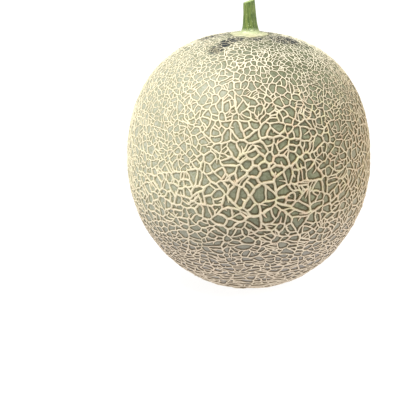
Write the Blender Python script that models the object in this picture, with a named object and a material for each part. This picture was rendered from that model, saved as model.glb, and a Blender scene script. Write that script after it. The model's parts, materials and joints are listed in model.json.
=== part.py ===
"""A whole netted cantaloupe melon standing on its base, with the stump of its stem still on top.

The melon grew as one piece, so it is one solid. The stem is its own solid, standing on the
melon's crown. Lengths are in metres, +Z is up, and the origin is the middle of the small
flat spot that the melon rests on.
"""

import math

import bmesh
import bpy
from mathutils import Vector

# The melon: a body of revolution, fuller above its widest girth than below it.
MELON_WIDTH = 0.146
CROWN_RISE = 0.0768  # from the widest girth up to where the crown would close
BASE_DROP = 0.0783  # from the widest girth down to where the base would close
CROWN_FULLNESS = 2.3  # 2 is an ellipse, and more than 2 has squarer shoulders
BASE_FULLNESS = 2.02
GIRTH_SWELLS = ((2, 0.0022, 0.7), (3, 0.0016, 2.1))  # waves round the girth, share, phase
REST_RADIUS = 0.014  # the flat spot underneath
MELON_SIDES = 60
MELON_RINGS = 37

# The stem: a leaning stump that flares where it joins the crown, cut across at a slant.
STEM_HEIGHT = 0.0186  # along its middle, from the crown to the cut
STEM_TOP_RADIUS = 0.0034
STEM_NECK_RADIUS = 0.0043  # what the shaft would have at the crown without its flare
STEM_FOOT_RADIUS = 0.0062
STEM_FLARE_LENGTH = 0.0024  # the height in which most of the flare dies away
STEM_LEAN = Vector((-0.0009, 0.0005))  # how far the cut's middle stands off the foot's
STEM_CUT_RISE = 0.32  # rise of the cut for each metre towards +X
STEM_RIB_COUNT = 5
STEM_RIB_SHARE = 0.045  # how far the ribs stand out, as a share of the radius
STEM_SIDES = 30
STEM_RINGS = 15

JOINT_GAP = 0.0003  # clearance between the stem's foot and the crown
PAD_MARGIN = 0.0012  # how far the flat on the crown reaches past the stem's foot

RIND_COLOUR = (0.62, 0.56, 0.38, 1.0)
STEM_COLOUR = (0.22, 0.34, 0.09, 1.0)


def clear_scene():
    for old in list(bpy.data.objects):
        bpy.data.objects.remove(old)


def plain_material(name, colour, roughness):
    material = bpy.data.materials.new(name)
    material.use_nodes = True
    shader = material.node_tree.nodes["Principled BSDF"]
    shader.inputs["Base Color"].default_value = colour
    shader.inputs["Roughness"].default_value = roughness
    shader.inputs["Metallic"].default_value = 0.0
    return material


def add_solid(name, mesh_builder, material):
    """A new object called name, whose closed mesh is the one that mesh_builder holds."""
    bmesh.ops.recalc_face_normals(mesh_builder, faces=mesh_builder.faces)
    mesh = bpy.data.meshes.new(name)
    mesh_builder.to_mesh(mesh)
    mesh_builder.free()
    mesh.shade_smooth()
    mesh.set_sharp_from_angle(angle=math.radians(40))
    mesh.materials.append(material)
    solid = bpy.data.objects.new(name, mesh)
    bpy.context.scene.collection.objects.link(solid)
    return solid


def skin_rings(rings):
    """A closed mesh through rings of points, all of one count, with a flat face at each end."""
    builder = bmesh.new()
    rows = [[builder.verts.new(point) for point in ring] for ring in rings]
    sides = len(rows[0])
    for lower, upper in zip(rows, rows[1:]):
        for side in range(sides):
            after = (side + 1) % sides
            builder.faces.new((lower[side], lower[after], upper[after], upper[side]))
    builder.faces.new(list(reversed(rows[0])))
    builder.faces.new(rows[-1])
    return builder


def half_profile(radius, rise, fullness):
    """Height over the widest girth of the point that lies at this radius."""
    share = radius / (MELON_WIDTH / 2)
    return rise * (1 - share**fullness) ** (1 / fullness)


def body_reach(polar):
    """Distance from the body's middle to its surface, at an angle from straight down."""
    across, up = math.sin(polar), -math.cos(polar)
    above = up > 0
    rise = CROWN_RISE if above else BASE_DROP
    fullness = CROWN_FULLNESS if above else BASE_FULLNESS
    return (
        (across / (MELON_WIDTH / 2)) ** fullness + (abs(up) / rise) ** fullness
    ) ** (-1 / fullness)


def girth_swell(polar, around):
    """How much further out the melon bulges here than a true body of revolution."""
    waves = sum(
        share * math.cos(count * around + phase) for count, share, phase in GIRTH_SWELLS
    )
    return 1 + waves * math.sin(polar) ** 2


def melon_rings(rest_height, pad_height):
    """Rings of the melon from its flat spot up to the flat under the stem."""
    first = math.atan2(REST_RADIUS, rest_height)
    last = math.pi - math.atan2(STEM_FOOT_RADIUS + PAD_MARGIN, pad_height)
    rings = []
    for row in range(MELON_RINGS):
        polar = first + (last - first) * row / (MELON_RINGS - 1)
        ring = []
        for side in range(MELON_SIDES):
            around = 2 * math.pi * side / MELON_SIDES
            reach = body_reach(polar)
            height = rest_height - reach * math.cos(polar)
            if row == 0:
                height = 0.0
            if row == MELON_RINGS - 1:
                height = rest_height + pad_height
            out = reach * math.sin(polar) * girth_swell(polar, around)
            ring.append((out * math.cos(around), out * math.sin(around), height))
        rings.append(ring)
    return rings


def stem_radius(height):
    """Radius of the stem's shaft and flare at a height above the crown."""
    share = height / STEM_HEIGHT
    shaft = STEM_NECK_RADIUS + (STEM_TOP_RADIUS - STEM_NECK_RADIUS) * share
    flare = STEM_FOOT_RADIUS - STEM_NECK_RADIUS
    return shaft + flare * math.exp(-height / STEM_FLARE_LENGTH)


def stem_rings(foot_height):
    """Rings of the stem from its foot up to the slanted cut."""
    rings = []
    for row in range(STEM_RINGS):
        share = (row / (STEM_RINGS - 1)) ** 1.4  # closer together in the flare
        height = STEM_HEIGHT * share
        middle = STEM_LEAN * share
        ring = []
        for side in range(STEM_SIDES):
            around = 2 * math.pi * side / STEM_SIDES
            rib = 1 + STEM_RIB_SHARE * math.cos(STEM_RIB_COUNT * around)
            out = stem_radius(height) * rib
            x = out * math.cos(around)
            y = out * math.sin(around)
            slant = STEM_CUT_RISE * x * share
            ring.append((middle.x + x, middle.y + y, foot_height + height + slant))
        rings.append(ring)
    return rings


def main():
    clear_scene()
    pad_radius = STEM_FOOT_RADIUS + PAD_MARGIN
    rest_height = half_profile(REST_RADIUS, BASE_DROP, BASE_FULLNESS)
    pad_height = half_profile(pad_radius, CROWN_RISE, CROWN_FULLNESS)
    add_solid(
        "melon",
        skin_rings(melon_rings(rest_height, pad_height)),
        plain_material("rind", RIND_COLOUR, 0.6),
    )
    add_solid(
        "stem",
        skin_rings(stem_rings(rest_height + pad_height + JOINT_GAP)),
        plain_material("stem", STEM_COLOUR, 0.5),
    )


main()
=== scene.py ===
# %% [markdown]
# # A netted cantaloupe melon
# A cantaloupe is a round fruit with a thin green skin. As it swells, the skin cracks, and each
# crack heals over with pale cork. The healed cracks stand up from the skin as a net of rounded
# ridges. A short stump of stem is left on the crown, in the middle of a smooth pale collar.
# This script makes that outside from meshes and procedural materials, around a packed plain
# model that fixes every size.

import json
import math

import bmesh
import bpy
import numpy as np
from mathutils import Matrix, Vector
from mathutils.kdtree import KDTree

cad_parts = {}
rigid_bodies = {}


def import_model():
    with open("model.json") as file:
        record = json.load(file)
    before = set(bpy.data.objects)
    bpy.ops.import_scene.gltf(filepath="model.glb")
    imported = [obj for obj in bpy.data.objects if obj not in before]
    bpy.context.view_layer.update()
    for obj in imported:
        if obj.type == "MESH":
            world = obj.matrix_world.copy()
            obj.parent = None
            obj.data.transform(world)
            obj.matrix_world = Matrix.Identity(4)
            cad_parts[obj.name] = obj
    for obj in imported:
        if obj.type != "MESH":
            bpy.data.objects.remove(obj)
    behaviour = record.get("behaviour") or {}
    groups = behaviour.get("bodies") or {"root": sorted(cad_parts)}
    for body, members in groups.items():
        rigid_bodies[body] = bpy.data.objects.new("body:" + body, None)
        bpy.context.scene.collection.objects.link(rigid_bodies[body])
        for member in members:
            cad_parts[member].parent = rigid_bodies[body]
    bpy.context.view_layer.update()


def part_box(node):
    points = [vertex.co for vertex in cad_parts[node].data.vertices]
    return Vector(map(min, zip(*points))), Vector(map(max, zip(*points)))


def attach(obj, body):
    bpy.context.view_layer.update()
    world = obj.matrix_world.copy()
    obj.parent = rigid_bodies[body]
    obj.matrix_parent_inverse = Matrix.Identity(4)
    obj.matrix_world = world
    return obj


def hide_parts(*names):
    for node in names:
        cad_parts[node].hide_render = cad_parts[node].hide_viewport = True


for leftover in list(bpy.data.objects):
    bpy.data.objects.remove(leftover)
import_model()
MM = 0.001
SEED = 11

# %% [markdown]
# ## The shape that everything lies on
# The fruit is fuller above its widest girth than below it, so its outline is two halves of a
# superellipse, which is an ellipse whose corners can be filled out. A lathe or a sculpted mesh
# would also do, but a formula gives a point of the surface for any direction, and the skin, the
# net and the collar can all ask it where they lie. The sizes come from the plain model's box.

# %% The melon's outline as a formula
melon_low, melon_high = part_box("melon")
HEIGHT = melon_high.z - melon_low.z
HALF_WIDTH = (melon_high.x - melon_low.x + melon_high.y - melon_low.y) / 4
GIRTH_LEVEL = 0.5009 * HEIGHT  # the height of the widest girth
CROWN_RISE = 0.5002 * HEIGHT
BASE_DROP = 0.5100 * HEIGHT
CROWN_FULLNESS = 2.3
BASE_FULLNESS = 2.02
GIRTH_SWELLS = ((2, 0.0022, 0.7), (3, 0.0016, 2.1))  # waves round the girth, share, phase
HEART = np.array([0.0, 0.0, GIRTH_LEVEL])
SKIN_DEPTH = 0.35 * MM  # the skin lies this far under the plain model's surface


def unit(vectors):
    return vectors / np.linalg.norm(vectors, axis=-1, keepdims=True)


def soft_floor(height, lowest, softness=0.5 * MM):
    """height, held above lowest, with a rounded corner where the limit takes over."""
    return lowest + softness * np.logaddexp(0, (height - lowest) / softness)


def outline(directions):
    """The melon's surface in these directions from the middle of its girth."""
    across = np.hypot(directions[:, 0], directions[:, 1])
    up = directions[:, 2]
    rise = np.where(up > 0, CROWN_RISE, BASE_DROP)
    fullness = np.where(up > 0, CROWN_FULLNESS, BASE_FULLNESS)
    reach = ((across / HALF_WIDTH) ** fullness + (np.abs(up) / rise) ** fullness) ** (-1 / fullness)
    around = np.arctan2(directions[:, 1], directions[:, 0])
    swell = sum(share * np.cos(count * around + phase) for count, share, phase in GIRTH_SWELLS)
    points = directions * reach[:, None]
    points[:, :2] *= (1 + swell * across**2)[:, None]
    points[:, 2] = soft_floor(points[:, 2] + GIRTH_LEVEL, 0.0)
    points[:, 2] = HEIGHT - soft_floor(HEIGHT - points[:, 2], 0.0)
    return points


def outward(directions, step=0.01):
    """The surface's unit normals in these directions, from points a short step to either side."""
    side = np.where(np.abs(directions[:, 2:3]) < 0.9, [[0.0, 0.0, 1.0]], [[1.0, 0.0, 0.0]])
    first = unit(np.cross(side, directions))
    second = np.cross(directions, first)
    along = outline(unit(directions + step * first)) - outline(unit(directions - step * first))
    over = outline(unit(directions + step * second)) - outline(unit(directions - step * second))
    return unit(np.cross(along, over))


print("height and half width, mm:", round(HEIGHT / MM, 1), round(HALF_WIDTH / MM, 1))

# %% [markdown]
# ## The camera
# It comes early, so that every later step can be looked at. It stands well back and a little
# above the fruit, with a long lens, so the sides stay round. It is turned so that the fruit sits
# right of the middle and above it.

# %% Camera
VIEW_HEIGHT = 11.0  # degrees above the horizon
CAMERA_DISTANCE = 1.6
LENS = 238.16  # mm, on a sensor 36 mm wide
AIM_RIGHT = -0.0293  # from the middle of the girth to what the camera points at
AIM_UP = -0.0252


def placed(name, data):
    """A new object in the scene, with this mesh, lamp or camera in it."""
    made = bpy.data.objects.new(name, data)
    bpy.context.scene.collection.objects.link(made)
    return made


def aimed(name, data, place, target):
    """A camera or lamp at a place, turned towards the target."""
    made = placed(name, data)
    made.location = place
    made.rotation_mode = "QUATERNION"
    made.rotation_quaternion = (target - made.location).to_track_quat("-Z", "Y")
    return made


def add_camera():
    data = bpy.data.cameras.new("camera")
    data.lens = LENS
    data.sensor_width = 36.0
    data.clip_end = 50.0
    tilt = math.radians(VIEW_HEIGHT)
    heart = Vector(HEART)
    back = Vector((0.0, -math.cos(tilt), math.sin(tilt)))
    over = Vector((0.0, math.sin(tilt), math.cos(tilt)))
    aim = heart + Vector((1.0, 0.0, 0.0)) * AIM_RIGHT + over * AIM_UP
    camera = aimed("camera", data, heart + back * CAMERA_DISTANCE, aim)
    bpy.context.scene.camera = camera
    print("camera at, m:", [round(value, 3) for value in camera.location])


add_camera()

# %% [markdown]
# ## Waves instead of noise textures
# Several steps need a smooth random value at any point: to make ridges wander, to vary their
# width, and to roll the skin. A sum of a few sine waves with random directions does that in
# plain numpy, and a fixed seed gives the same waves on each run.


# %% A smooth random value at any point
class Waves:
    """A smooth random value between about -1 and 1 at points in metres."""

    def __init__(self, wavelength, seed, count=14):
        dice = np.random.default_rng(seed)
        heading = unit(dice.normal(size=(count, 3)))
        stretch = dice.uniform(0.75, 1.35, size=(count, 1))
        self.turns = heading * stretch * 2 * math.pi / wavelength
        self.phases = dice.uniform(0, 2 * math.pi, size=count)
        self.share = math.sqrt(2 / count) * 0.7

    def __call__(self, points):
        return np.sin(points @ self.turns.T + self.phases).sum(axis=1) * self.share


class Drift:
    """A smooth random sideways push, in metres, at points in metres."""

    def __init__(self, wavelength, size, seed):
        self.parts = [Waves(wavelength, seed + axis) for axis in range(3)]
        self.size = size

    def __call__(self, points):
        return np.stack([part(points) for part in self.parts], axis=1) * self.size


# %% [markdown]
# ## How the net grows
# On the real fruit the skin cracks in the order of its strain: a few long cracks first, which
# part the skin into wide plates, and then each plate cracks again across its longest side, and
# so on, until the plates are a few millimetres wide. A late crack always stops at an older one,
# which gives the T-shaped joints, the ladders of short rungs and the finer and finer ridges.
# A Voronoi texture would give even honeycomb cells with no old and young ridges, so the cracks
# are grown here in that same order: Voronoi plates first, then plates cut in two again and again.
#
# The cracks are kept as one network of knots and short stretches between them. When a crack
# meets an older one, the older one gets a new knot there, so the two stay joined whatever is
# done to the network afterwards.


# %% A network of knots and stretches
NET_RADIUS = (HALF_WIDTH * 2 + HEIGHT) / 4  # of the ball on which the cracks are laid out
CRACK_STEP = 1.9 * MM  # between the knots of a crack


class Network:
    """Cracks on a ball. A knot is a direction, and a stretch is the line between two knots."""

    def __init__(self):
        self.knots = []
        self.stretches = []  # (first knot, last knot)
        self.met_at = {}  # stretch: [(share of its length, knot)] where younger cracks end on it
        self.cracks = []  # (its stretches in order, its generation)

    def add_knot(self, direction):
        self.knots.append(direction)
        return len(self.knots) - 1

    def add_crack(self, knots, generation):
        """Adds a crack through these knots and gives its stretches."""
        first = len(self.stretches)
        self.stretches += list(zip(knots, knots[1:]))
        made = list(range(first, len(self.stretches)))
        self.cracks.append((made, generation))
        return made

    def meet(self, stretch, direction):
        """A new knot where a younger crack ends on this stretch."""
        first, last = (self.knots[end] for end in self.stretches[stretch])
        share = np.linalg.norm(direction - first) / np.linalg.norm(last - first)
        knot = self.add_knot(direction)
        self.met_at.setdefault(stretch, []).append((share, knot))
        return knot

    def knots_along(self, stretches):
        """All knots along a crack, with those where younger cracks end on it."""
        found = [self.stretches[stretches[0]][0]]
        for stretch in stretches:
            found += [knot for _, knot in sorted(self.met_at.get(stretch, []))]
            found.append(self.stretches[stretch][1])
        return found


# %% The first wide plates
PLATE_COUNT = 62
PLATE_EDGE_BOW = 0.06  # the usual sideways bend of the plates' edges, as a share of their length


def scattered_directions(count, dice, tries=5):
    """Random directions that keep some distance from each other."""
    kept = unit(dice.normal(size=(1, 3)))
    while len(kept) < count:
        offers = unit(dice.normal(size=(tries, 3)))
        nearest = (offers @ kept.T).max(axis=1)
        kept = np.vstack([kept, offers[nearest.argmin()]])
    return kept


def bowed_arc(start, end, bow):
    """Directions between start and end that bend sideways by bow, as a share of the length."""
    length = math.acos(np.clip(start @ end, -1, 1))
    count = max(2, math.ceil(length * NET_RADIUS / CRACK_STEP))
    along = np.linspace(0, 1, count + 1)[1:-1, None]
    side = unit(np.cross(start, end))
    return unit(start * (1 - along) + end * along + side * length * bow * np.sin(np.pi * along))


def first_plates(net, dice):
    """Voronoi plates on a ball. A plate is its rim's knots, stretches, and which knots are corners."""
    builder = bmesh.new()
    for direction in scattered_directions(PLATE_COUNT, dice):
        builder.verts.new(direction)
    bmesh.ops.convex_hull(builder, input=builder.verts)
    builder.faces.index_update()
    corners = [net.add_knot(np.array(face.normal)) for face in builder.faces]
    edges = {}
    for edge in builder.edges:
        ends = tuple(sorted(face.index for face in edge.link_faces))
        arc = bowed_arc(*(net.knots[corners[end]] for end in ends), dice.normal(0, PLATE_EDGE_BOW))
        knots = [corners[ends[0]], *(net.add_knot(point) for point in arc), corners[ends[1]]]
        edges[ends] = (knots, net.add_crack(knots, 0))
    plates = []
    for vertex in builder.verts:
        first = unit(np.cross(np.array(vertex.co), [0.3, 0.5, 0.8]))
        second = np.cross(np.array(vertex.co), first)
        around = [(math.atan2(np.dot(face.normal, second), np.dot(face.normal, first)), face.index)
                  for face in vertex.link_faces]
        loop = [index for _, index in sorted(around)]
        rim, stretches, sharp = [], [], []
        for here, after in zip(loop, loop[1:] + loop[:1]):
            knots, parts = edges[tuple(sorted((here, after)))]
            turn = 1 if here < after else -1
            rim += knots[::turn][:-1]
            stretches += parts[::turn]
            sharp += [True] + [False] * (len(knots) - 2)
        plates.append((rim, stretches, sharp))
    builder.free()
    return plates


dice = np.random.default_rng(SEED)
net = Network()
wide_plates = first_plates(net, dice)
print("first plates:", len(wide_plates), "with edges:", len(net.cracks))

# %% [markdown]
# A plate's rim is cut where a straight line across its short side leaves it. The line keeps away
# from the plate's corners, leans a little at random, and bows like a real crack. Both halves take
# the new crack into their own rims, so the next cracks end exactly on it. Near the base the cells
# of a real net are wider than they are high, so there a plate counts as taller than it is.


# %% Cutting a plate in two
BASE_STRETCH = 1.8
CUT_TRIES = 7
CUT_LEAN = 0.28  # radians, the usual lean of a cut
CUT_SHIFT = 0.2  # how far from the middle a cut may be, as a share of the plate's width
CLEAR_OF_CORNERS = 0.2  # a cut this far from every corner, as a share of the width, will do
CUT_BOW = 0.085  # the usual sideways bend of a cut, as a share of its length
MOST_BOW = 0.18


def stretch(level):
    """How much taller than it is a plate counts at this level, from -1 at the base to 1."""
    return 1 + (BASE_STRETCH - 1) * np.clip((-level - 0.25) / 0.4, 0, 1)


def flatten(directions):
    """The rim laid flat in metres around its middle, and the way back from flat to directions.

    The second axis runs up the fruit, and it is stretched near the base.
    """
    middle = unit(directions.mean(axis=0))
    first = unit(np.cross([0.01, 0.02, 1.0], middle))
    second = np.cross(middle, first)
    scale = np.array([1.0, stretch(middle[2])]) * NET_RADIUS
    depth = directions @ middle
    flat = np.stack([directions @ first / depth, directions @ second / depth], axis=1) * scale

    def lift(points):
        sideways = points / scale
        return unit(middle + sideways[:, :1] * first + sideways[:, 1:] * second)

    return flat, lift


def measure(flat):
    """Area, middle, long axis and slimness of a flat plate."""
    after = np.roll(flat, -1, axis=0)
    cross = flat[:, 0] * after[:, 1] - after[:, 0] * flat[:, 1]
    area = cross.sum() / 2
    middle = ((flat + after) * cross[:, None]).sum(axis=0) / (6 * area)
    weight = np.linalg.norm(after - flat, axis=1)[:, None]
    arms = (flat + after) / 2 - middle
    sizes, axes = np.linalg.eigh((arms * weight).T @ arms / weight.sum())
    return abs(area), middle, axes[:, 1], math.sqrt(sizes[1] / max(sizes[0], 1e-12))


def first_hit(flat, start, heading):
    """Where a line from start along heading first meets the rim: its point and place in the rim."""
    along = np.roll(flat, -1, axis=0) - flat
    to_rim = flat - start
    cross = heading[0] * along[:, 1] - heading[1] * along[:, 0]
    cross = np.where(np.abs(cross) < 1e-12, 1e-12, cross)
    distance = (to_rim[:, 0] * along[:, 1] - to_rim[:, 1] * along[:, 0]) / cross
    share = (to_rim[:, 0] * heading[1] - to_rim[:, 1] * heading[0]) / cross
    fits = (distance > 1e-9) & (share >= 0) & (share < 1)
    if not fits.any():
        return None
    place = int(np.where(fits, distance, np.inf).argmin())
    return start + heading * distance[place], place


def best_cut(flat, sharp, dice, lengthwise=False):
    """Both ends of the cut that keeps furthest from the plate's corners, of a few at random."""
    area, middle, long_axis, slimness = measure(flat)
    width = math.sqrt(area)
    across = np.array([-long_axis[1], long_axis[0]])
    if lengthwise:
        long_axis, across, slimness = across, long_axis, 1.0
    best, best_gap = None, -1.0
    for _ in range(CUT_TRIES):
        lean = dice.normal(0, CUT_LEAN)
        shift = dice.uniform(-CUT_SHIFT, CUT_SHIFT) * width * min(slimness, 1.6)
        heading = across * math.cos(lean) + long_axis * math.sin(lean)
        start = middle + long_axis * shift
        ends = first_hit(flat, start, heading), first_hit(flat, start, -heading)
        if None in ends or ends[0][1] == ends[1][1]:
            continue
        gap = min(np.linalg.norm(flat[sharp] - point, axis=1).min() for point, _ in ends)
        if gap > best_gap:
            best, best_gap = ends, gap
        if gap > CLEAR_OF_CORNERS * width:
            break
    return best


def cut_plate(net, plate, generation, dice, lengthwise=False):
    """Adds a crack that parts a plate, and gives the two halves, or None where no cut fits."""
    rim, stretches, sharp = plate
    flat, lift = flatten(np.array([net.knots[knot] for knot in rim]))
    ends = best_cut(flat, sharp, dice, lengthwise)
    if ends is None:
        return None
    (head, head_place), (tail, tail_place) = ends
    bow = float(np.clip(dice.normal(0, CUT_BOW), -MOST_BOW, MOST_BOW))
    count = max(2, math.ceil(np.linalg.norm(tail - head) / CRACK_STEP))
    along = np.linspace(0, 1, count + 1)[:, None]
    side = np.array([head[1] - tail[1], tail[0] - head[0]])
    line = lift(head + (tail - head) * along + side * bow * np.sin(np.pi * along))
    first = net.meet(stretches[head_place], line[0])
    last = net.meet(stretches[tail_place], line[-1])
    knots = [first, *(net.add_knot(point) for point in line[1:-1]), last]
    crack = net.add_crack(knots, generation)
    halves = []
    for start, stop, own, parts in ((head_place, tail_place, knots[::-1], crack[::-1]),
                                    (tail_place, head_place, knots, crack)):
        kept = [(start + 1 + k) % len(rim) for k in range((stop - start) % len(rim))]
        halves.append((
            [own[-1], *(rim[k] for k in kept), *own[:-1]],
            [stretches[start], *(stretches[k] for k in kept), *parts],
            [True, *(sharp[k] for k in kept), True, *[False] * (len(own) - 2)]))
    return halves


# %% [markdown]
# The plates aren't the same size everywhere. They are widest underneath and on the flank in
# front, where the skin had most room to stretch, and small near the stem and to either side. A
# plate stops cracking when it is smaller than the size wanted at its place, times a random
# share. In some finished plates a last crack starts and dies out, which leaves a blind stub.

# %% How far the cracking goes
PLATE_AREA = 36e-6  # the usual size of a plate that no longer cracks
AREA_SPREAD = 0.28
LEAST_AREA = 0.3  # of the usual size, where the plates are smallest
STUB_SHARE = 0.38  # of the finished plates
SLIVER_SHARE = 0.12  # of the finished plates, which are parted once more along their length
SLIVER_DELAY = 5  # generations by which those last cracks and the stubs are thinner
FLANKS = (  # facing, how wide it reaches, by what share the plates are larger there
    ((0.15, -0.99, -0.05), 0.14, 0.80),
    ((-0.65, -0.45, 0.62), 0.16, -0.26),
    ((-0.95, -0.30, 0.0), 0.20, -0.22),
    ((0.60, -0.45, 0.66), 0.15, -0.30),
    ((0.0, 0.0, -1.0), 0.35, 1.10),
    ((0.0, 0.0, 1.0), 0.24, -0.50))
patch_waves = Waves(55 * MM, seed=SEED + 3)


def wanted_area(directions):
    """How large the finished plates are wanted in these directions."""
    share = 0.85 + 0.12 * patch_waves(directions * NET_RADIUS)
    for side, reach, extra in FLANKS:
        share += extra * np.exp((directions @ unit(np.array(side)) - 1) / reach)
    return PLATE_AREA * np.maximum(share, LEAST_AREA)


def add_stub(net, plate, generation, dice):
    """A short crack that starts on the rim and dies out inside the plate."""
    rim, stretches, _ = plate
    flat, lift = flatten(np.array([net.knots[knot] for knot in rim]))
    area, middle, _, _ = measure(flat)
    place = int(dice.integers(len(rim)))
    start = (flat[place] + flat[(place + 1) % len(rim)]) / 2
    inward = (middle - start) * dice.uniform(0.6, 1.25)
    side = np.array([-inward[1], inward[0]]) * dice.normal(0, 0.25)
    line = lift(np.array([start, start + inward * 0.5 + side, start + inward]))
    knots = [net.meet(stretches[place], line[0]), net.add_knot(line[1]), net.add_knot(line[2])]
    net.add_crack(knots, generation)
    return knots[-1]


def grow_cracks(net, plates, dice):
    """Cuts plates until each is small enough. Gives the finished plates and the blind ends."""
    finished, blind_ends = [], set()
    waiting = [(plate, 1) for plate in plates]
    while waiting:
        plate, generation = waiting.pop()
        directions = np.array([net.knots[knot] for knot in plate[0]])
        area = measure(flatten(directions)[0])[0]
        wanted = wanted_area(unit(directions.mean(axis=0))[None])[0]
        enough = wanted * math.exp(dice.normal(0, AREA_SPREAD))
        halves = None if area < enough else cut_plate(net, plate, generation, dice)
        if halves:
            waiting += [(half, generation + 1) for half in halves]
            continue
        if dice.random() < SLIVER_SHARE:
            halves = cut_plate(net, plate, generation + SLIVER_DELAY, dice, lengthwise=True)
        finished += halves or [plate]
        if dice.random() < STUB_SHARE:
            blind_ends.add(add_stub(net, finished[-1], generation + SLIVER_DELAY, dice))
    return finished, blind_ends


plates, blind_ends = grow_cracks(net, wide_plates, dice)
print("cracks:", len(net.cracks), "plates:", len(plates), "knots:", len(net.knots))

# %% [markdown]
# ## Pulling the net into shape
# Cork grows into the corners of a joint and pulls it round, so the ridges meet more evenly than
# straight cracks do, and the cells between them are rounded. The same thing happens when every
# knot is moved a few times towards the middle of its neighbours, as on a stretched string net.

# %% Relaxing the network
RELAX_STEPS = 5
RELAX_PULL = 0.5


def relaxed(net, lines, pinned):
    """The knots' directions after each was pulled towards its neighbours a few times."""
    places = np.array(net.knots)
    pairs = np.array([pair for line in lines for pair in zip(line, line[1:])])
    count = np.zeros(len(places))
    np.add.at(count, pairs.ravel(), 1)
    free = count > 0
    free[list(pinned)] = False
    for _ in range(RELAX_STEPS):
        pull = np.zeros_like(places)
        np.add.at(pull, pairs[:, 0], places[pairs[:, 1]])
        np.add.at(pull, pairs[:, 1], places[pairs[:, 0]])
        middle = pull[free] / count[free, None]
        places[free] += (middle - places[free]) * RELAX_PULL
    return unit(places)


def joined_edges(net):
    """The first plates' edges joined into long ridges, along the straightest way at each corner."""
    edges = [net.knots_along(stretches) for stretches, generation in net.cracks if generation == 0]
    leaving = {}
    for index, knots in enumerate(edges):
        for own in (knots, knots[::-1]):
            heading = unit(net.knots[own[2]] - net.knots[own[0]])
            leaving.setdefault(own[0], []).append((index, heading))
    partner = {}
    for corner, out in leaving.items():
        pairs = [(float(a[1] @ b[1]), a[0], b[0]) for k, a in enumerate(out) for b in out[k + 1:]]
        _, one, two = min(pairs)
        partner[corner, one] = two
        partner[corner, two] = one
    left = set(range(len(edges)))

    def follow(index, line):
        """The line with edges added to its end for as long as the straightest one is free."""
        while partner.get((line[-1], index)) in left:
            index = partner[line[-1], index]
            left.remove(index)
            knots = edges[index]
            line += knots[1:] if knots[0] == line[-1] else knots[-2::-1]
        return line

    ridges = []
    for index, knots in enumerate(edges):
        if index in left:
            left.remove(index)
            ridges.append(follow(index, follow(index, list(knots))[::-1]))
    return ridges


lines = [(line, 0) for line in joined_edges(net)]
lines += [(net.knots_along(stretches), generation)
          for stretches, generation in net.cracks if generation > 0]
places = relaxed(net, [line for line, _ in lines], blind_ends)
total = sum(np.linalg.norm(np.diff(places[line], axis=0), axis=1).sum() for line, _ in lines)
print("ridges:", len(lines), "length, m:", round(total * NET_RADIUS, 1))

# %% [markdown]
# ## From knots to wandering lines on the fruit
# Real cork ridges wander. All knots are pushed sideways by the same smooth drift, so the ridges
# turn wavy together. Each line then carries what its ridge needs: how wide it is, and which way
# is out of the fruit. Old cracks have had more time to grow cork, so they are wide. Near the
# stem the ridges are thin, and none runs onto the collar.

# %% Ridge lines
CORD_HALF_WIDTH = 0.69 * MM  # of an old ridge between plates of the usual size
CORD_POWER = 0.75  # above 0.5, ridges between wide plates are wide even for those plates
YOUNGEST_FACTOR = 0.62
YOUNGER_SHARE = 0.97  # of its parents' width, for each generation
JOINT_FLARE = 1.15  # a ridge is this much wider where it ends on another
BLIND_TAPER = 0.45  # and narrows to this share of its width where it dies out
PROUD_LIFT = 0.28  # how far a ridge's middle stands above the skin, as a share of its half width
SUNK_LIFT = 0.30  # how far it lies below the skin where the ridges are flattest
COLLAR_RADIUS = 11.6 * MM
UNDER_COLLAR = 0.97  # the ridges end at this share of the collar's radius, under its rim
THIN_CROWN_RADIUS = 34 * MM  # inside this the ridges thin out towards the collar
THINNEST = 0.30  # of their usual width, beside the collar and in the bare patches
BARE_PATCHES = (  # dark, thinly netted patches on the crown: x, y and radius in mm
    (-8, -16, 5.5), (-13.5, -21, 5.5), (-19, -27, 5), (3, -15, 5), (21, -9, 10), (-23, 2, 8),
    (6, 20, 9), (-10, 24, 7))
LOW_SIDE = unit(np.array([-0.70, -0.45, 0.55]))  # where the ridges are lowest and broadest
LOW_SIDE_BREADTH = 0.15
BASE_BREADTH = 0.12  # by what share the ridges are wider near the base
BASE_FLATNESS = 0.25  # and how low they are there, from 0 to 1
EDGE_RIPPLE = 0.16  # how much a ridge's width varies along it, in short waves
WIDTH_DRIFT = 0.12  # and in long ones
long_drift = Drift(17 * MM, 0.55 * MM, seed=SEED + 10)
short_drift = Drift(6.5 * MM, 0.34 * MM, seed=SEED + 20)
width_waves = Waves(3.5 * MM, seed=SEED + 30)
region_waves = Waves(14 * MM, seed=SEED + 31)


def wander(directions):
    """The directions, pushed sideways by the long drift and then by the short one."""
    points = directions * NET_RADIUS
    points = points + long_drift(points)
    return unit(points + short_drift(points))


def ridge_half_width(directions, generation):
    """Half widths along a ridge, with uneven edges and a thin stretch near the stem."""
    points = directions * NET_RADIUS
    age = max(YOUNGER_SHARE**generation, YOUNGEST_FACTOR)
    plate_size = wanted_area(directions) / PLATE_AREA / stretch(directions[:, 2])
    basis = CORD_HALF_WIDTH * plate_size**CORD_POWER * age
    uneven = 1 + EDGE_RIPPLE * width_waves(points) + WIDTH_DRIFT * region_waves(points)
    from_stem = np.hypot(points[:, 0], points[:, 1])
    thin = np.clip((from_stem - COLLAR_RADIUS) / (THIN_CROWN_RADIUS - COLLAR_RADIUS), 0, 1)
    for x, y, radius in BARE_PATCHES:
        inside = np.hypot(points[:, 0] - x * MM, points[:, 1] - y * MM) / (radius * MM)
        thin = np.minimum(thin, np.clip(inside - 0.5, 0, 1))
    thin = np.where(directions[:, 2] > 0, THINNEST + (1 - THINNEST) * thin, 1.0)
    thin *= 1 + BASE_BREADTH * np.clip((-directions[:, 2] - 0.2) / 0.5, 0, 1)
    return basis * np.clip(uneven, 0.6, 1.5) * thin


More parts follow.
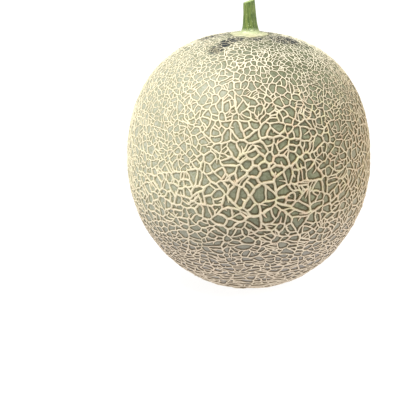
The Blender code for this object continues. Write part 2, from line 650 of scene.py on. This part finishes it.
def flatness(directions):
    """How near the low side is, and how low the ridges are: there, on the crown, a little below."""
    low_side = np.exp((directions @ LOW_SIDE - 1) / 0.30)
    crown = np.exp((directions[:, 2] - 1) / 0.16)
    base = BASE_FLATNESS * np.clip((-directions[:, 2] - 0.2) / 0.6, 0, 1)
    return low_side, np.maximum(np.maximum(low_side, crown), base)


def ridge_line(line, generation):
    """A ridge's points, normals and half widths on the fruit."""
    directions = wander(places[line])
    low_side, flat = flatness(directions)
    half = ridge_half_width(directions, generation) * (1 + LOW_SIDE_BREADTH * low_side)
    lift_share = PROUD_LIFT - (PROUD_LIFT + SUNK_LIFT) * flat
    for end in (0, -1):
        if line[end] in blind_ends:
            half[end] *= BLIND_TAPER
        elif generation:
            half[end] *= JOINT_FLARE
    out = outward(directions)
    points = outline(directions) + out * (half * lift_share - SKIN_DEPTH)[:, None]
    return points, out, half


def outside_collar(points, half):
    """The runs of a ridge's points that don't lie on the collar."""
    from_stem = np.hypot(points[:, 0], points[:, 1])
    away = (from_stem > COLLAR_RADIUS * UNDER_COLLAR) | (points[:, 2] < HEIGHT / 2)
    breaks = np.flatnonzero(np.diff(away.astype(int))) + 1
    runs = np.split(np.arange(len(points)), breaks)
    return [run for run in runs if away[run[0]] and len(run) > 1]


# %% [markdown]
# ## Nodes by script
# Materials and Geometry Nodes trees are both graphs of nodes. A small class wraps a node's
# output, so that sums and products of outputs can be written as plain Python, and one method
# adds any other node. The same helper then builds every graph below.


# %% A helper for node graphs
class Wire:
    """A node's output that takes part in arithmetic."""

    def __init__(self, board, socket):
        self.board = board
        self.socket = socket

    def math(self, operation, first, second):
        return self.board.add("ShaderNodeMath", {"operation": operation}, {0: first, 1: second})

    def __add__(self, other):
        return self.math("ADD", self, other)

    def __sub__(self, other):
        return self.math("SUBTRACT", self, other)

    def __rsub__(self, other):
        return self.math("SUBTRACT", other, self)

    def __mul__(self, other):
        return self.math("MULTIPLY", self, other)

    def __truediv__(self, other):
        return self.math("DIVIDE", self, other)

    def __pow__(self, other):
        return self.math("POWER", self, other)

    __radd__ = __add__
    __rmul__ = __mul__

    def most(self, other):
        return self.math("MAXIMUM", self, other)


class Board:
    """A node tree that nodes are added to."""

    def __init__(self, tree):
        self.tree = tree

    def add(self, kind, settings=None, sockets=None, output=0):
        """Adds a node: its settings first, then a value or a Wire for each socket named."""
        node = self.tree.nodes.new(kind)
        for name, value in (settings or {}).items():
            setattr(node, name, value)
        for key, value in (sockets or {}).items():
            if isinstance(value, Wire):
                self.tree.links.new(value.socket, node.inputs[key])
            else:
                node.inputs[key].default_value = value
        return Wire(self, node.outputs[output]) if node.outputs else None

    def named(self, name, kind="FLOAT"):
        """A named attribute, in a geometry tree."""
        node = "GeometryNodeInputNamedAttribute"
        return self.add(node, {"data_type": kind}, {"Name": name})


# %% [markdown]
# ## Ridges by Geometry Nodes
# A ridge of cork is a cord half sunk in the skin. Sweeping one cross-section along all the lines
# gives exactly that, and Geometry Nodes does the sweep for thousands of lines at once. The tree
# turns the edges into curves, stands each curve's normal up out of the fruit, and sweeps a
# rounded section whose size is each point's own half width. The section is an arc that is
# closed underneath, where it is hidden in the skin. Each point of it also keeps how high it
# stands, which the cork's colour uses later.


# %% The tree that sweeps ridges
SECTION_START = math.radians(-28)  # the arc starts and ends below the middle of the section
SECTION_SWEEP = math.radians(236)
FOOT_SPREAD = 0.5  # how fast the section widens below its middle, into the skin


def ridge_tree():
    tree = bpy.data.node_groups.new("sweep_ridges", "GeometryNodeTree")
    board = Board(tree)
    tree.interface.new_socket("Geometry", in_out="INPUT", socket_type="NodeSocketGeometry")
    for name, kind in (("Section points", "NodeSocketInt"), ("Height share", "NodeSocketFloat"),
                       ("Step", "NodeSocketFloat"), ("Cork", "NodeSocketMaterial")):
        tree.interface.new_socket(name, in_out="INPUT", socket_type=kind)
    tree.interface.new_socket("Geometry", in_out="OUTPUT", socket_type="NodeSocketGeometry")
    given = tree.nodes.new("NodeGroupInput")
    edges, points, share, step, cork = (Wire(board, socket) for socket in given.outputs[:5])
    arc = board.add("GeometryNodeCurveArc", {"mode": "RADIUS"}, {
        "Resolution": points, "Radius": 1.0, "Start Angle": SECTION_START,
        "Sweep Angle": SECTION_SWEEP})
    place = board.add("GeometryNodeInputPosition")
    across, high = (board.add("ShaderNodeSeparateXYZ", None, {0: place}, output=k) for k in (0, 1))
    arc = board.add("GeometryNodeStoreNamedAttribute", {"data_type": "FLOAT", "domain": "POINT"},
                    {"Geometry": arc, "Name": "crest", "Value": high})
    spread = 1 + (0 - high).most(0.0) * FOOT_SPREAD
    section = board.add("ShaderNodeCombineXYZ", None, {0: high * share, 1: 0 - across * spread})
    arc = board.add("GeometryNodeSetPosition", None, {"Geometry": arc, "Position": section})
    arc = board.add("GeometryNodeSetSplineCyclic", None, {"Geometry": arc, "Cyclic": True})
    line = board.add("GeometryNodeMeshToCurve", None, {"Mesh": edges})
    line = board.add("GeometryNodeCurveSplineType", {"spline_type": "CATMULL_ROM"}, {"Curve": line})
    line = board.add("GeometryNodeResampleCurve", {"mode": "LENGTH"}, {"Curve": line, "Length": step})
    line = board.add("GeometryNodeSetCurveNormal", {"mode": "FREE"},
                     {"Curve": line, "Normal": board.named("out", "FLOAT_VECTOR")})
    swept = board.add("GeometryNodeCurveToMesh", None, {
        "Curve": line, "Profile Curve": arc, "Scale": board.named("half_width"),
        "Fill Caps": True})
    swept = board.add("GeometryNodeSetShadeSmooth", None, {"Geometry": swept})
    swept = board.add("GeometryNodeRealizeInstances", None, {"Geometry": swept})
    swept = board.add("GeometryNodeSetMaterial", None, {"Geometry": swept, "Material": cork})
    board.add("NodeGroupOutput", None, {0: swept})
    return tree


RIDGE_TREE = ridge_tree()
print("ridge tree nodes:", len(RIDGE_TREE.nodes))


# %% [markdown]
# ## Finishes
# Every finish reads the point's place on the fruit, so the patterns are fixed to it and need no
# unwrapped image. Noise at several sizes gives the broad patches, the mottling and the grain.

# %% Shared parts of the finishes
def new_finish(name, roughness, gloss=0.5):
    material = bpy.data.materials.new(name)
    material.use_nodes = True
    shader = material.node_tree.nodes["Principled BSDF"]
    shader.inputs["Roughness"].default_value = roughness
    shader.inputs["Specular IOR Level"].default_value = gloss
    return material, Board(material.node_tree), shader


def place_on_fruit(board):
    """The point's own place in metres, and its three parts."""
    place = board.add("ShaderNodeTexCoord", output=3)
    parts = [board.add("ShaderNodeSeparateXYZ", None, {0: place}, output=k) for k in range(3)]
    return place, parts


def noise(board, place, size, detail=2.0, distortion=0.0, offset=0.0):
    """Noise from 0 to 1 whose lumps are about this size in metres."""
    shifted = board.add("ShaderNodeVectorMath", {"operation": "ADD"},
                        {0: place, 1: (offset, offset * 0.7, -offset)})
    return board.add("ShaderNodeTexNoise", None, {
        "Vector": shifted, "Scale": 1 / size, "Detail": detail, "Distortion": distortion})


def step_between(wire, low, high):
    """0 below low, 1 above high, and smooth between."""
    return wire.board.add("ShaderNodeMapRange", {"interpolation_type": "SMOOTHSTEP"},
                          {0: wire, 1: low, 2: high, 3: 0.0, 4: 1.0})


def patchy(board, place, size, low, high, **how):
    """Soft-edged patches of 0 and 1, made of noise of this size."""
    return step_between(noise(board, place, size, **how), low, high)


def length(x, y):
    return (x * x + y * y) ** 0.5


def blend_colours(board, share, first, second):
    """The first colour, blended towards the second by share. A plain colour is three numbers."""
    first, second = ((*colour, 1) if isinstance(colour, tuple) else colour
                     for colour in (first, second))
    return board.add("ShaderNodeMix", {"data_type": "RGBA"}, {0: share, 6: first, 7: second},
                     output=2)


def layered(board, colour, *layers):
    """The colour with other colours laid over it in turn, each by its own share."""
    for share, over in layers:
        colour = blend_colours(board, share, colour, over)
    return colour


def facing(board, place, direction, tightness):
    """Near 1 on the side of the fruit that faces this direction, falling off round it."""
    heading = Vector(direction).normalized()
    from_heart = board.add("ShaderNodeVectorMath", {"operation": "SUBTRACT"},
                           {0: place, 1: tuple(HEART)})
    along = board.add("ShaderNodeVectorMath", {"operation": "NORMALIZE"}, {0: from_heart})
    cosine = board.add("ShaderNodeVectorMath", {"operation": "DOT_PRODUCT"},
                       {0: along, 1: tuple(heading)}, output=1)
    return step_between(cosine, 1 - tightness, 1.0)


def rough_up(board, shader, height, depth):
    """A bump of this depth in metres, which catches light without changing the outline."""
    bump = board.add("ShaderNodeBump", None, {"Height": height, "Distance": depth,
                                              "Strength": 1.0})
    board.tree.links.new(bump.socket, shader.inputs["Normal"])


def paint(board, shader, socket, wire):
    board.tree.links.new(wire.socket, shader.inputs[socket])


# %% [markdown]
# ## Skin
# Between the ridges the skin is a dull grey green, mottled and greyer underneath. It is painted
# paler on the side towards the key lamp, which is painted light with some sun bleaching, and tan
# on the side away from it, which is painted shade; the crease beside each ridge is painted shade
# too. Round the stem, where the net is thin, it is nearly black green in patches. A small tan
# scar in the middle of the underside is where the flower fell off.

# %% Skin finish
# LIT_SIDE and LIT_SPOT face the key lamp; the fruit is painted paler towards them, which is painted light
# with some sun bleaching
LIT_SIDE = (-0.88, -0.45, 0.30)
LIT_SPOT = (-0.40, -0.62, 0.68)
# SHADE_SIDE faces away from the key lamp; the tones that the finishes lay on that side are painted shade
SHADE_SIDE = (0.95, 0.1, -0.2)


def lit_and_bleached_share(board, place):
    """How much painted light, with some sun bleaching, pales the fruit here, from 0 to 1."""
    spot = facing(board, place, LIT_SPOT, 0.20)
    return facing(board, place, LIT_SIDE, 0.85).most(spot * 0.5)


def skin_finish():
    material, board, shader = new_finish("green_skin", roughness=0.5, gloss=0.35)
    place, (x, y, z) = place_on_fruit(board)
    patches = patchy(board, place, 9 * MM, 0.3, 0.7, detail=3)
    mottle = patchy(board, place, 1.3 * MM, 0.25, 0.75, detail=3, offset=0.3)
    lit_and_bleached = lit_and_bleached_share(board, place)
    shaded = facing(board, place, SHADE_SIDE, 0.75)
    under = 1 - step_between(z, 0.12 * HEIGHT, 0.42 * HEIGHT)
    from_axis = length(x, y)
    upper = (1 - step_between(from_axis, 30 * MM, 72 * MM)) * step_between(z, 0.62 * HEIGHT, 0.82 * HEIGHT)
    scar = (1 - step_between(from_axis, 4 * MM, 7 * MM)) * under
    # the lit side's pale tone is painted light with some sun bleaching, and the shaded side's tan tone is
    # painted shade
    colour = layered(
        board, blend_colours(board, patches, (0.088, 0.098, 0.045), (0.195, 0.208, 0.110)),
        (mottle * 0.55, (0.31, 0.32, 0.21)),
        (lit_and_bleached * 0.9, blend_colours(board, mottle, (0.31, 0.325, 0.20), (0.49, 0.485, 0.40))),
        (shaded * 0.85, (0.34, 0.295, 0.20)),
        (under * 0.85, (0.30, 0.268, 0.245)),
        (upper * (0.50 - lit_and_bleached * 0.30), (0.036, 0.045, 0.016)),
        (scar * 0.9, (0.34, 0.26, 0.15)))
    crown = step_between(z, 0.8 * HEIGHT, 0.9 * HEIGHT)
    ragged_edge = noise(board, place, 7 * MM, detail=3, distortion=0.8, offset=1.7) * 1.4 - 0.7
    for left, front, radius in BARE_PATCHES:
        off = length((x - left * MM) / (radius * MM), (y - front * MM) / (radius * MM))
        patch = (1 - step_between(off + ragged_edge, 0.65, 1.15)) * crown
        colour = blend_colours(board, patch, colour, (0.014, 0.020, 0.022))
    # painted shade: the skin darkens in the crease beside each ridge, wider on the side facing the front,
    # paler on the lit side and browner on the shaded side
    gap = board.add("ShaderNodeAttribute", {"attribute_name": "gap"}, output=2)
    ragged = gap + (mottle - 0.5) * 0.35
    front = facing(board, place, (0.25, -1.0, 0.0), 0.5)
    crease_shade = 1 - step_between(ragged - front * 0.35, -0.1, 0.62)
    crease_shade_colour = layered(
        board, blend_colours(board, lit_and_bleached, (0.078, 0.060, 0.022), (0.27, 0.24, 0.125)),
        (shaded, (0.13, 0.090, 0.042)),
        (under * 0.7, (0.085, 0.062, 0.038)))
    colour = blend_colours(board, crease_shade * 0.85, colour, crease_shade_colour)
    paint(board, shader, "Base Color", colour)
    paint(board, shader, "Roughness", 0.42 + mottle * 0.2)
    rough_up(board, shader, noise(board, place, 0.9 * MM, detail=3, offset=0.9), 0.12 * MM)
    return material


# %% [markdown]
# ## Cork
# The ridges are cream cork, tan or pinkish in patches. Their feet and lower sides are painted
# dark olive brown, partly the torn skin's own colour and mostly painted shade that rounds and
# outlines each ridge. They are painted paler towards the key lamp, which is painted light with
# some sun bleaching, paler on the upper part, partly as painted light, and tan on the side away
# from the lamp, which is painted shade. The height that the sweep kept for each point tells the
# crest from the foot.

# %% Cork finish
def cork_finish():
    material, board, shader = new_finish("cork", roughness=0.75, gloss=0.25)
    place, (x, y, z) = place_on_fruit(board)
    crest = board.add("ShaderNodeAttribute", {"attribute_name": "crest"}, output=2)
    patches = patchy(board, place, 7 * MM, 0.35, 0.65, offset=2.1)
    blush = patchy(board, place, 4 * MM, 0.50, 0.70, offset=3.7)
    lime = patchy(board, place, 5 * MM, 0.52, 0.68, offset=5.3)
    grain = noise(board, place, 0.7 * MM, offset=7.1)
    top = step_between(crest, 0.5, 1.0)
    from_axis = length(x, y)
    # the cork is painted paler on the upper part towards the crown, partly painted light, and less so
    # where the lit side is already pale
    crown = (1 - step_between(from_axis, 30 * MM, 76 * MM)) * step_between(z, 0.52 * HEIGHT, 0.74 * HEIGHT)
    # painted light with some sun bleaching: the cork is paler towards the lit side, and the tan on the
    # shaded side is painted shade
    lit_and_bleached = lit_and_bleached_share(board, place)
    crown = crown * (1 - lit_and_bleached * 0.4)
    shaded = facing(board, place, SHADE_SIDE, 0.8)
    under = 1 - step_between(z, 0.14 * HEIGHT, 0.50 * HEIGHT)
    # painted shade, with some torn-skin olive: the lower sides of each ridge darken to olive brown, paler
    # on the lit side and on the upper part
    foot = 1 - step_between(crest, 0.34, 0.98)
    pale = lit_and_bleached.most(crown * 0.7)
    foot_shade_colour = layered(
        board, blend_colours(board, pale, (0.165, 0.116, 0.040), (0.50, 0.465, 0.30)),
        (under * 0.8, (0.17, 0.125, 0.075)))
    colour = layered(
        board, blend_colours(board, patches, (0.63, 0.585, 0.40), (0.50, 0.425, 0.285)),
        (blush * 0.7, (0.66, 0.40, 0.235)),
        (lime * 0.5, (0.60, 0.66, 0.27)),
        ((grain - 0.4) * 0.5, (0.84, 0.78, 0.59)),
        (top * 0.5, (0.62, 0.515, 0.38)),
        (lit_and_bleached * 0.7, (0.80, 0.74, 0.54)),
        (crown * 0.75, (0.94, 0.91, 0.74)),
        (shaded * 0.5, (0.66, 0.51, 0.33)),
        (under * 0.75, (0.78, 0.66, 0.53)),
        (foot * 0.9, foot_shade_colour))
    paint(board, shader, "Base Color", colour)
    rough_up(board, shader, grain, 0.16 * MM)
    return material


# %% [markdown]
# ## Stem, collar and floor colours
# The stump is leaf green and slightly waxy, with paler specks, and it fades to cream where it
# flares out onto the collar. Its cut face is a paler green. The collar is patchy cream, greener
# round the stem and browner at its rim. The floor gives off some light, which keeps it white.

# %% Stem, collar and floor finishes
stem_low, stem_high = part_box("stem")


def stem_finish():
    material, board, shader = new_finish("green_stem", roughness=0.45)
    place, (x, y, z) = place_on_fruit(board)
    stretched = board.add("ShaderNodeVectorMath", {"operation": "MULTIPLY"},
                          {0: place, 1: (1.0, 1.0, 0.18)})
    streaks = patchy(board, stretched, 1.4 * MM, 0.3, 0.7, detail=3)
    specks = patchy(board, place, 0.8 * MM, 0.62, 0.72, detail=1, offset=1.1)
    low_part, foot = (1 - step_between(z, stem_low.z - 0.5 * MM, stem_low.z + reach)
                      for reach in (9 * MM, 3.6 * MM))
    paint(board, shader, "Base Color", layered(
        board, blend_colours(board, streaks, (0.060, 0.113, 0.014), (0.185, 0.245, 0.052)),
        (specks * (0.25 + low_part * 0.75), (0.62, 0.68, 0.40)),
        (foot * 0.8, (0.66, 0.70, 0.42))))
    rough_up(board, shader, streaks, 0.15 * MM)
    return material


def cut_finish():
    material, board, shader = new_finish("cut_stem", roughness=0.6)
    place, _ = place_on_fruit(board)
    grain = noise(board, place, 0.7 * MM)
    paint(board, shader, "Base Color",
          blend_colours(board, grain, (0.22, 0.32, 0.08), (0.42, 0.50, 0.20)))
    rough_up(board, shader, grain, 0.2 * MM)
    return material


def collar_finish():
    material, board, shader = new_finish("pale_collar", roughness=0.55)
    place, (x, y, z) = place_on_fruit(board)
    from_axis = length(x, y)
    patches = patchy(board, place, 3.5 * MM, 0.35, 0.65, detail=3, distortion=0.6)
    green = 1 - step_between(from_axis, 4.5 * MM, 8.5 * MM)
    rim = step_between(from_axis, 10.2 * MM, 12.4 * MM)
    paint(board, shader, "Base Color", layered(
        board, blend_colours(board, patches, (0.43, 0.44, 0.245), (0.58, 0.56, 0.37)),
        (green * 0.5, (0.48, 0.57, 0.26)),
        (rim * 0.7, (0.46, 0.42, 0.24))))
    rough_up(board, shader, noise(board, place, 0.8 * MM, detail=3), 0.15 * MM)
    return material


def floor_finish():
    material, board, shader = new_finish("pale_floor", roughness=0.9, gloss=0.1)
    shader.inputs["Base Color"].default_value = (0.22, 0.22, 0.22, 1)
    shader.inputs["Emission Color"].default_value = (1, 1, 1, 1)
    shader.inputs["Emission Strength"].default_value = 0.9
    return material


finishes = [make() for make in
            (skin_finish, cork_finish, stem_finish, cut_finish, collar_finish, floor_finish)]
skin, cork, green_stem, cut_stem, pale_collar, pale_floor = finishes
print("finishes:", [material.name for material in finishes])

# %% [markdown]
# ## The net
# Every ridge gets its line on the fruit, and the tree sweeps them all. The net is split by age
# into four pieces of about the same length, so that none of them grows too heavy. Where the
# fruit rested on the ground, its net was pressed flat as it grew.

# %% Sweeping the ridges
RIDGE_SIZES = {"Section points": 8, "Height share": 1.15, "Step": 1.2 * MM, "Cork": cork}
NET_NAMES = ("net_oldest", "net_older", "net_younger", "net_youngest")


def evaluated_mesh(source, name):
    """The object's mesh with its modifiers in it, on a new plain object; the source goes."""
    graph = bpy.context.evaluated_depsgraph_get()
    mesh = bpy.data.meshes.new_from_object(source.evaluated_get(graph))
    mesh.name = name
    bpy.data.objects.remove(source)
    return placed(name, mesh)


def triangles(mesh):
    return sum(len(face.vertices) - 2 for face in mesh.polygons)


def press_flat(mesh):
    """Presses the mesh flat where the fruit rested on the ground."""
    places = np.empty(len(mesh.vertices) * 3)
    mesh.vertices.foreach_get("co", places)
    places[2::3] = soft_floor(places[2::3], 0.0, 0.1 * MM)
    mesh.vertices.foreach_set("co", places)
    mesh.update()


def make_ridges(name, lines):
    """One mesh of all these ridges. lines holds points, outward normals and half widths."""
    mesh = bpy.data.meshes.new(name + "_lines")
    counts = [len(points) for points, _, _ in lines]
    starts = np.cumsum([0] + counts[:-1])
    edges = [(start + k, start + k + 1)
             for start, count in zip(starts, counts) for k in range(count - 1)]
    mesh.from_pydata(np.vstack([line[0] for line in lines]).tolist(), edges, [])
    out = mesh.attributes.new("out", "FLOAT_VECTOR", "POINT")
    out.data.foreach_set("vector", np.vstack([line[1] for line in lines]).ravel())
    half_width = mesh.attributes.new("half_width", "FLOAT", "POINT")
    half_width.data.foreach_set("value", np.concatenate([line[2] for line in lines]))
    source = placed(name + "_lines", mesh)
    sweep = source.modifiers.new("sweep", "NODES")
    sweep.node_group = RIDGE_TREE
    for item in RIDGE_TREE.interface.items_tree:
        if item.name in RIDGE_SIZES:
            sweep[item.identifier] = RIDGE_SIZES[item.name]
    made = evaluated_mesh(source, name)
    press_flat(made.data)
    print(name, "triangles:", triangles(made.data))
    return made


ridges = []
for line, generation in sorted(lines, key=lambda item: item[1]):
    points, out, half = ridge_line(line, generation)
    ridges += [(points[run], out[run], half[run]) for run in outside_collar(points, half)]
reach = np.cumsum([np.linalg.norm(np.diff(points, axis=0), axis=1).sum() for points, _, _ in ridges])
share_of = np.minimum(reach / reach[-1] * len(NET_NAMES), len(NET_NAMES) - 0.001).astype(int)
nets = [make_ridges(name, [ridges[k] for k in np.flatnonzero(share_of == place)])
        for place, name in enumerate(NET_NAMES)]
widths = np.concatenate([half for _, _, half in ridges])
print("half widths, mm:", np.percentile(widths, [5, 50, 95]) / MM)


# %% [markdown]
# ## The skin's mesh
# The skin is one closed ball of small squares, made by blowing up a cube so that no pole or seam
# shows. Each point keeps its distance from the nearest ridge, so that the finish can paint shade
# into the crease and the skin can swell a little in the middle of each cell.

# %% Skin mesh
SKIN_GRID = 126  # squares along each side of the cube
SWELL = 0.22 * MM  # how far the middle of a wide cell stands up
SWELL_REACH = 1.2 * MM


def blown_up_cube():
    """A closed mesh of even squares on a ball of radius 1, and its points' directions."""
    builder = bmesh.new()
    bmesh.ops.create_cube(builder, size=2.0)
    bmesh.ops.subdivide_edges(builder, edges=builder.edges, cuts=SKIN_GRID - 1, use_grid_fill=True)
    mesh = bpy.data.meshes.new("rind")
    builder.to_mesh(mesh)
    builder.free()
    corners = np.empty(len(mesh.vertices) * 3)
    mesh.vertices.foreach_get("co", corners)
    return mesh, unit(np.tan(corners.reshape(-1, 3) * math.pi / 4))


def distance_from_ridges(points, ridges):
    """For each point, how far it is outside the nearest ridge's foot, in metres."""
    middles, halves = [], []
    for line, _, half in ridges:
        for share in (0.0, 0.25, 0.5, 0.75):
            middles.append(line[:-1] * (1 - share) + line[1:] * share)
            halves.append(half[:-1] * (1 - share) + half[1:] * share)
    middles, halves = np.vstack(middles), np.concatenate(halves)
    tree = KDTree(len(middles))
    for k, middle in enumerate(middles):
        tree.insert(middle, k)
    tree.balance()
    found = [tree.find(point) for point in points]
    return np.array([gap for _, _, gap in found]) - halves[[k for _, k, _ in found]]


def make_skin():
    mesh, directions = blown_up_cube()
    out = outward(directions)
    points = outline(directions) - out * SKIN_DEPTH
    gap = distance_from_ridges(points, ridges)
    points += out * (SWELL * (1 - np.exp(-np.clip(gap, 0, None) / SWELL_REACH)))[:, None]
    mesh.vertices.foreach_set("co", points.ravel())
    mesh.attributes.new("gap", "FLOAT", "POINT").data.foreach_set("value", gap / MM)
    mesh.update()
    mesh.shade_smooth()
    mesh.materials.append(skin)
    print("rind squares:", len(mesh.polygons), "widest cell, mm:", round(gap.max() * 2 / MM, 1))
    return placed("rind", mesh)


rind = make_skin()


# %% [markdown]
# ## Collar
# Where the stem joins the fruit there is a smooth pale ring with an uneven rim, a little above
# the skin. It is turned like a lathe part, with its rim and its height varied by the same waves
# as before, and closed underneath inside the fruit.

# %% Collar
COLLAR_SIDES = 96
COLLAR_RISE = 0.55 * MM
rim_waves = Waves(9 * MM, seed=SEED + 40)
ripple_waves = Waves(3.2 * MM, seed=SEED + 41)


def ring_mesh(name, rings, finishes, cap_finish=0):
    """A closed mesh through rings of equal counts, with a cap of triangles at each end."""
    sides = len(rings[0])
    points = [tuple(point) for ring in rings for point in ring]
    top = len(points) - sides
    first_middle, last_middle = len(points), len(points) + 1
    points += [tuple(np.mean(ring, axis=0)) for ring in (rings[0], rings[-1])]
    pairs = [(side, (side + 1) % sides) for side in range(sides)]
    faces = [(row + side, row + after, row + sides + after, row + sides + side)
             for row in range(0, top, sides) for side, after in pairs]
    wall_count = len(faces)
    faces += [(after, side, first_middle) for side, after in pairs]
    faces += [(top + side, top + after, last_middle) for side, after in pairs]
    mesh = bpy.data.meshes.new(name)
    mesh.from_pydata(points, [], faces)
    for finish in finishes:
        mesh.materials.append(finish)
    for face in mesh.polygons[wall_count + sides:]:
        face.material_index = cap_finish
    mesh.shade_smooth()
    return placed(name, mesh)


def crown_height(x, y):
    """Height of the skin over a point near the stem's axis."""
    out = math.hypot(x, y) / HALF_WIDTH
    return GIRTH_LEVEL + CROWN_RISE * (1 - out**CROWN_FULLNESS) ** (1 / CROWN_FULLNESS)


def make_collar():
    angles = np.linspace(0, 2 * math.pi, COLLAR_SIDES, endpoint=False)
    profile = [(1.0, -1.6), (1.0, -0.6), (0.985, 0.15), (0.95, 0.6), (0.88, 0.9), (0.75, 1.0),
               (0.60, 1.0), (0.48, 1.15), (0.40, 1.5), (0.34, 2.0)]
    rings = []
    for share, rise in profile:
        ring = []
        for angle in angles:
            rim = np.array([[math.cos(angle), math.sin(angle), 0.0]]) * COLLAR_RADIUS
            reach = COLLAR_RADIUS * share * (1 + 0.075 * rim_waves(rim)[0])
            x, y = reach * math.cos(angle), reach * math.sin(angle)
            ripple = 0.12 * ripple_waves(np.array([[x, y, 0.0]]))[0] * (rise > 0)
            level = min(crown_height(x, y), HEIGHT) - SKIN_DEPTH
            ring.append((x, y, level + COLLAR_RISE * (rise + ripple)))
        rings.append(ring)
    return ring_mesh("collar", rings, [pale_collar])


collar = make_collar()


# %% [markdown]
# ## Stem
# A melon stem has about five blunt ribs and a fibrous skin, and flares into the collar. It is
# lofted through rings up a slightly leaning line; each ring's radius is the shaft, the flare,
# the ribs and a little waviness added up. The top is cut across at a slant, with a sunk pith.

# %% Stem
STEM_SIDES = 60
STEM_RINGS = 46
STEM_FOOT = 6.2 * MM
STEM_NECK = 4.3 * MM
STEM_TOP = 3.4 * MM
STEM_FLARE = 2.4 * MM
STEM_LEAN = Vector((-0.9, 0.5)) * MM
STEM_SHIFT = 0.6 * MM  # it doesn't stand quite in the middle
CUT_RISE = 0.32  # the cut's slant, as rise over run
STEM_HEIGHT = 18.6 * MM
STEM_DEPTH = 1.5 * MM  # how far the foot reaches down into the collar
CUT_FACE = ((0.84, 0.10), (0.6, 0.16), (0.42, 0.22), (0.3, 0.5))  # share of the radius, mm sunk
fibre_waves = Waves(2.2 * MM, seed=SEED + 50)
knob_waves = Waves(5 * MM, seed=SEED + 51)


def stem_ring(height, share_in=1.0, sink=0.0):
    """A ring of the stem at this height. share_in below 1 draws it in, for the cut face."""
    share = height / STEM_HEIGHT
    ring = []
    for side in range(STEM_SIDES):
        around = 2 * math.pi * side / STEM_SIDES
        shaft = STEM_NECK + (STEM_TOP - STEM_NECK) * share
        radius = shaft + (STEM_FOOT - STEM_NECK) * math.exp(-max(height, 0) / STEM_FLARE)
        ribs = 0.045 * math.cos(5 * around) + 0.02 * math.cos(11 * around + 1.3)
        spot = np.array([[math.cos(around) * 3 * MM, math.sin(around) * 3 * MM, height * 0.25]])
        lumps = 0.012 * fibre_waves(spot)[0] + 0.02 * knob_waves(spot * [1, 1, 4])[0]
        radius *= (1 + ribs + lumps) * share_in
        x, y = radius * math.cos(around), radius * math.sin(around)
        slant = CUT_RISE * x * share
        ring.append((STEM_SHIFT + STEM_LEAN.x * share + x, STEM_LEAN.y * share + y,
                     stem_low.z + height + slant - sink))
    return ring


def make_stem():
    top = STEM_HEIGHT
    reach = top - 0.35 * MM + STEM_DEPTH
    rings = [stem_ring(-STEM_DEPTH + reach * (k / (STEM_RINGS - 1)) ** 1.2)
             for k in range(STEM_RINGS)]
    rings += [stem_ring(top - 0.12 * MM, 0.985), stem_ring(top, 0.95), stem_ring(top, 0.90)]
    wall = len(rings)
    rings += [stem_ring(top, share, sunk * MM) for share, sunk in CUT_FACE]
    made = ring_mesh("stem_stump", rings, [green_stem, cut_stem], cap_finish=1)
    for index in range((wall - 1) * STEM_SIDES, (len(rings) - 1) * STEM_SIDES):
        made.data.polygons[index].material_index = 1
    return made


stem_stump = make_stem()
print("stem triangles:", triangles(stem_stump.data))


# %% [markdown]
# ## Floor and light
# The melon stands on a white floor that gives off some light of its own, so that its own shadow
# hardly shows. A small lamp high on the left models the ridges, a wide one on the right lifts
# the shaded side, and the white world fills in the rest.

# %% Floor and light
FLOOR_REACH = 3.0


def make_floor():
    mesh = bpy.data.meshes.new("floor")
    corners = [(x * FLOOR_REACH, y * FLOOR_REACH, 0) for x, y in ((-1, -1), (1, -1), (1, 1), (-1, 1))]
    mesh.from_pydata(corners, [], [(0, 1, 2, 3)])
    mesh.materials.append(pale_floor)
    return placed("floor", mesh)


floor = make_floor()


def add_area_light(name, place, size, power):
    data = bpy.data.lights.new(name, "AREA")
    data.size = size
    data.energy = power
    aimed(name, data, place, Vector(HEART))


add_area_light("key", Vector((-0.81, -0.50, 1.62)), 0.28, 36)
add_area_light("rim", Vector((1.30, -0.55, 1.15)), 0.8, 15)
world = bpy.data.worlds.new("studio")
bpy.context.scene.world = world
world.use_nodes = True
sky = world.node_tree.nodes["Background"]
sky.inputs["Color"].default_value = (1, 1, 1, 1)
sky.inputs["Strength"].default_value = 0.56
bpy.context.scene.view_settings.view_transform = "Standard"

# %% [markdown]
# ## Tying the pieces to the plain model
# Nothing on a melon moves, so every piece rides on the one body. The skin, the net and the
# collar stand in for the plain model's melon, and the stump for its stem.

# %% Every piece rides on the one body
for piece in (rind, *nets, collar):
    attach(piece, "root")
    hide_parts("melon")
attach(stem_stump, "root")
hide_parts("stem")
